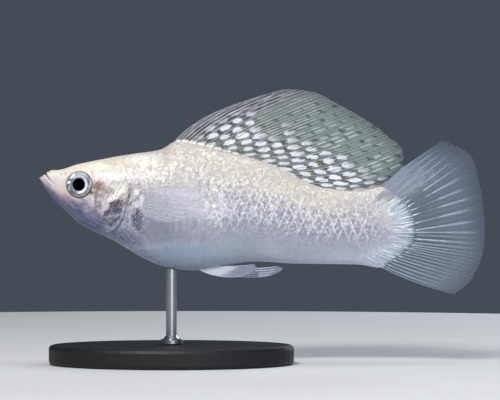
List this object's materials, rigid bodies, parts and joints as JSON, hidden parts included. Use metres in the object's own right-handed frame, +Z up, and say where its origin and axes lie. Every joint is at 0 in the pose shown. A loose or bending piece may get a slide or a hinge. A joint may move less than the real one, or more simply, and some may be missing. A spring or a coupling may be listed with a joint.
{
  "type": "life-size sailfin molly model on a display stand",
  "caption": "Life-size male sailfin molly with a tall spotted dorsal fin, fanned tail and pearly scales, on an oval base with a rod.",
  "frame": {"origin": "centre of the flat underside of the oval base, under the rod", "axes": "-X towards the fish's snout, +Y to its right side, +Z up"},
  "size_m": [0.0908, 0.036, 0.0561],
  "materials": {
    "pearl_skin": "pearly, moist skin with silver scales",
    "fin_membrane": "thin clear membrane between pale rays",
    "silver_eye": "silver iris round a black pupil under a clear cornea",
    "black_base": "satin black",
    "steel_rod": "brushed"
  },
  "bodies": {
    "root": {"head": "pearl_skin", "lower_jaw": "pearl_skin", "gill_cover_left": "pearl_skin", "gill_cover_right": "pearl_skin", "eye_left": "silver_eye", "eye_right": "silver_eye", "trunk": "pearl_skin", "tail_stem": "pearl_skin", "dorsal_fin": "fin_membrane", "caudal_fin": "fin_membrane", "gonopodium": "fin_membrane", "pelvic_fin_left": "fin_membrane", "pelvic_fin_right": "fin_membrane", "pectoral_fin_left": "fin_membrane", "pectoral_fin_right": "fin_membrane", "stand_base": "black_base", "stand_rod": "steel_rod"}
  },
  "joints": []
}
